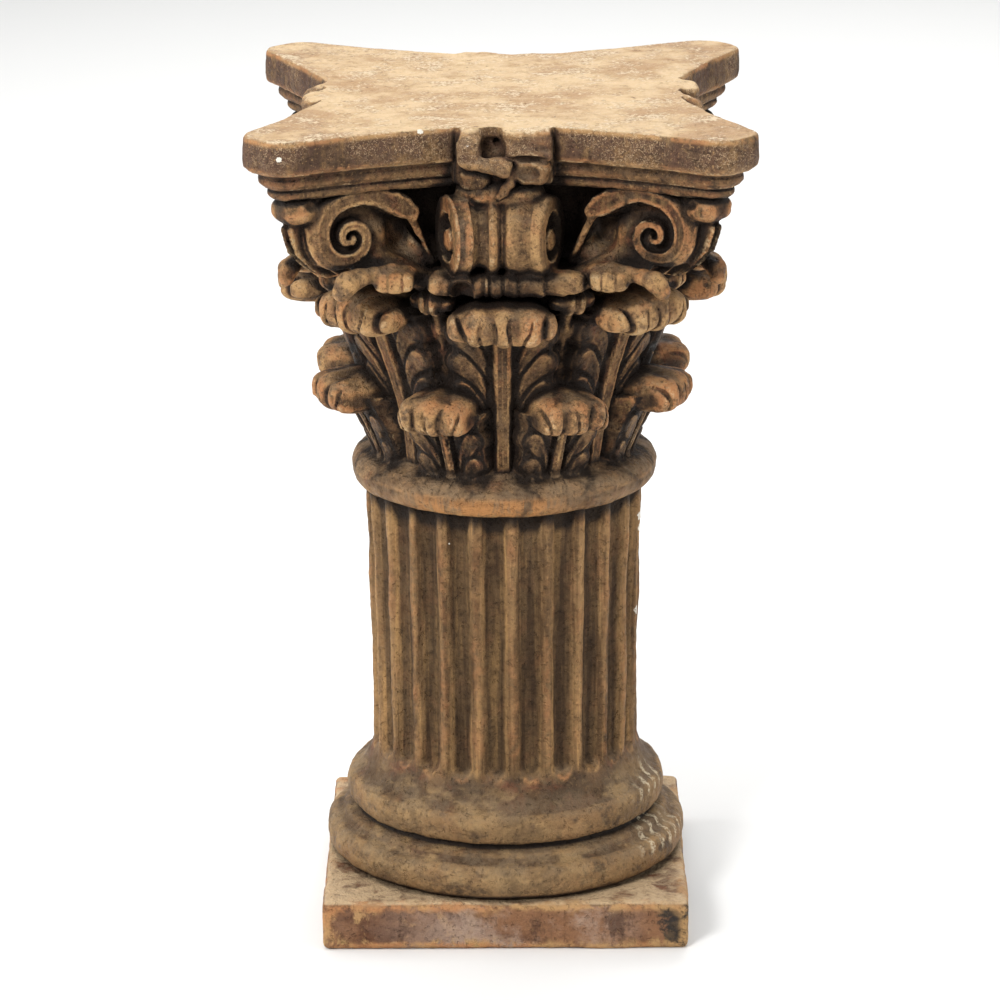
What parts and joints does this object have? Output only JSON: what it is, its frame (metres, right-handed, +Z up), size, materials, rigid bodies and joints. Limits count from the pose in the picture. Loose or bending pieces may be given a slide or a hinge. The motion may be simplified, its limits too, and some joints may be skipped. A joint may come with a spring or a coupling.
{
  "type": "column pedestal",
  "caption": "Short Corinthian column used as a pedestal: square plinth, moulded base, fluted shaft, leaf and scroll capital, and a flat concave-sided top.",
  "frame": {"origin": "centre of the plinth's underside", "axes": "+Z up the column's axis, the side seen in the picture at -Y, and the plinth's sides along X and Y"},
  "size_m": [0.3574, 0.3574, 0.61],
  "materials": {
    "cast_stone": "matte"
  },
  "bodies": {
    "root": {"pedestal": "cast_stone"}
  },
  "joints": []
}
